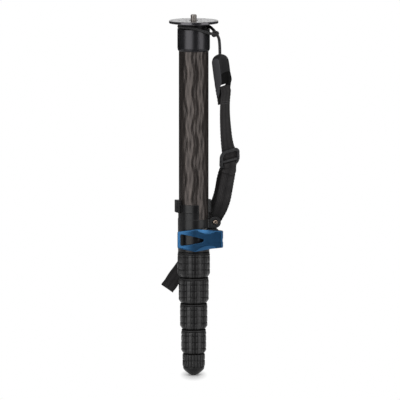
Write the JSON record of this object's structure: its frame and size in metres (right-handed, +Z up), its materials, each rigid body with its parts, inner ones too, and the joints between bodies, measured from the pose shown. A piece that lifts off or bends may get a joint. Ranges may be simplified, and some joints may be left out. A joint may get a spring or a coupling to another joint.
{
  "type": "camera monopod",
  "caption": "Folded telescopic carbon camera monopod with a camera plate and stud, a blue flip lock, ribbed twist locks, a rubber foot and a webbing wrist strap.",
  "frame": {"origin": "middle of the camera plate's top face, at the foot of the stud", "axes": "+Z up along the tubes, out of the plate; +X towards the strap; -Y towards the lever's front"},
  "size_m": [0.0839, 0.053, 0.3919],
  "materials": {
    "plate_black": "anodised, satin",
    "head_black": "anodised, satin",
    "lever_blue": "blue anodised, satin",
    "steel": "turned",
    "screw_bronze": "polished",
    "carbon": "clear-coated carbon winding",
    "lock_plastic": "moulded",
    "strap_plastic": "moulded",
    "liner_plastic": "low-friction",
    "grip_rubber": "ribbed, matt",
    "foot_rubber": "ribbed, matt",
    "webbing": "woven",
    "cord": "braided"
  },
  "bodies": {
    "upper_section": {"camera_plate": "plate_black", "camera_stud": "steel", "stud_set_screw": "steel", "head_collar": "head_black", "tube_1": "carbon", "strap_clip": "lock_plastic", "lock_body": "lock_plastic", "clamp_liner": "liner_plastic", "tension_bolt": "steel", "barrel_pin": "steel", "cam_pad": "lock_plastic", "adjust_nut": "steel", "strap_screw": "screw_bronze", "strap_washer": "steel", "strap_cord": "cord", "cord_knot": "cord", "strap_tab": "strap_plastic", "webbing_upper": "webbing", "webbing_tail": "webbing", "webbing_lower": "webbing", "strap_buckle": "strap_plastic"},
    "lever": {"flip_lever": "lever_blue"},
    "section_2": {"tube_2": "carbon", "guide_bush_2": "liner_plastic", "ferrule_2": "head_black", "collet_2": "liner_plastic"},
    "twist_2": {"twist_nut_2": "head_black", "twist_grip_2": "grip_rubber"},
    "section_3": {"tube_3": "carbon", "guide_bush_3": "liner_plastic", "ferrule_3": "head_black", "collet_3": "liner_plastic"},
    "twist_3": {"twist_nut_3": "head_black", "twist_grip_3": "grip_rubber"},
    "section_4": {"tube_4": "carbon", "guide_bush_4": "liner_plastic", "ferrule_4": "head_black", "collet_4": "liner_plastic"},
    "twist_4": {"twist_nut_4": "head_black", "twist_grip_4": "grip_rubber"},
    "section_5": {"tube_5": "carbon", "guide_bush_5": "liner_plastic", "ferrule_5": "head_black", "collet_5": "liner_plastic"},
    "twist_5": {"twist_nut_5": "head_black", "twist_grip_5": "grip_rubber"},
    "section_6": {"tube_6": "carbon", "guide_bush_6": "liner_plastic", "foot_plug": "head_black", "foot_stud": "steel", "foot_collar": "foot_rubber", "foot_tip": "foot_rubber"}
  },
  "joints": [
    {"name": "lever_flip", "type": "hinge", "parent": "upper_section", "child": "lever", "pos_m": [0.0245, -0.01655, -0.236], "axis": [0, 0, 1], "range_deg": [0, 100]},
    {"name": "extend_2", "type": "slide", "parent": "upper_section", "child": "section_2", "axis": [0, 0, -1], "range_m": [0, 0.168]},
    {"name": "extend_3", "type": "slide", "parent": "section_2", "child": "section_3", "axis": [0, 0, -1], "range_m": [0, 0.207]},
    {"name": "extend_4", "type": "slide", "parent": "section_3", "child": "section_4", "axis": [0, 0, -1], "range_m": [0, 0.234]},
    {"name": "extend_5", "type": "slide", "parent": "section_4", "child": "section_5", "axis": [0, 0, -1], "range_m": [0, 0.262]},
    {"name": "extend_6", "type": "slide", "parent": "section_5", "child": "section_6", "axis": [0, 0, -1], "range_m": [0, 0.289]},
    {"name": "twist_2_turn", "type": "hinge", "parent": "section_2", "child": "twist_2", "pos_m": [0, 0, -0.2639], "axis": [0, 0, 1], "range_deg": [0, 90]},
    {"name": "twist_3_turn", "type": "hinge", "parent": "section_3", "child": "twist_3", "pos_m": [0, 0, -0.2922], "axis": [0, 0, 1], "range_deg": [0, 90]},
    {"name": "twist_4_turn", "type": "hinge", "parent": "section_4", "child": "twist_4", "pos_m": [0, 0, -0.3205], "axis": [0, 0, 1], "range_deg": [0, 90]},
    {"name": "twist_5_turn", "type": "hinge", "parent": "section_5", "child": "twist_5", "pos_m": [0, 0, -0.3488], "axis": [0, 0, 1], "range_deg": [0, 90]}
  ]
}
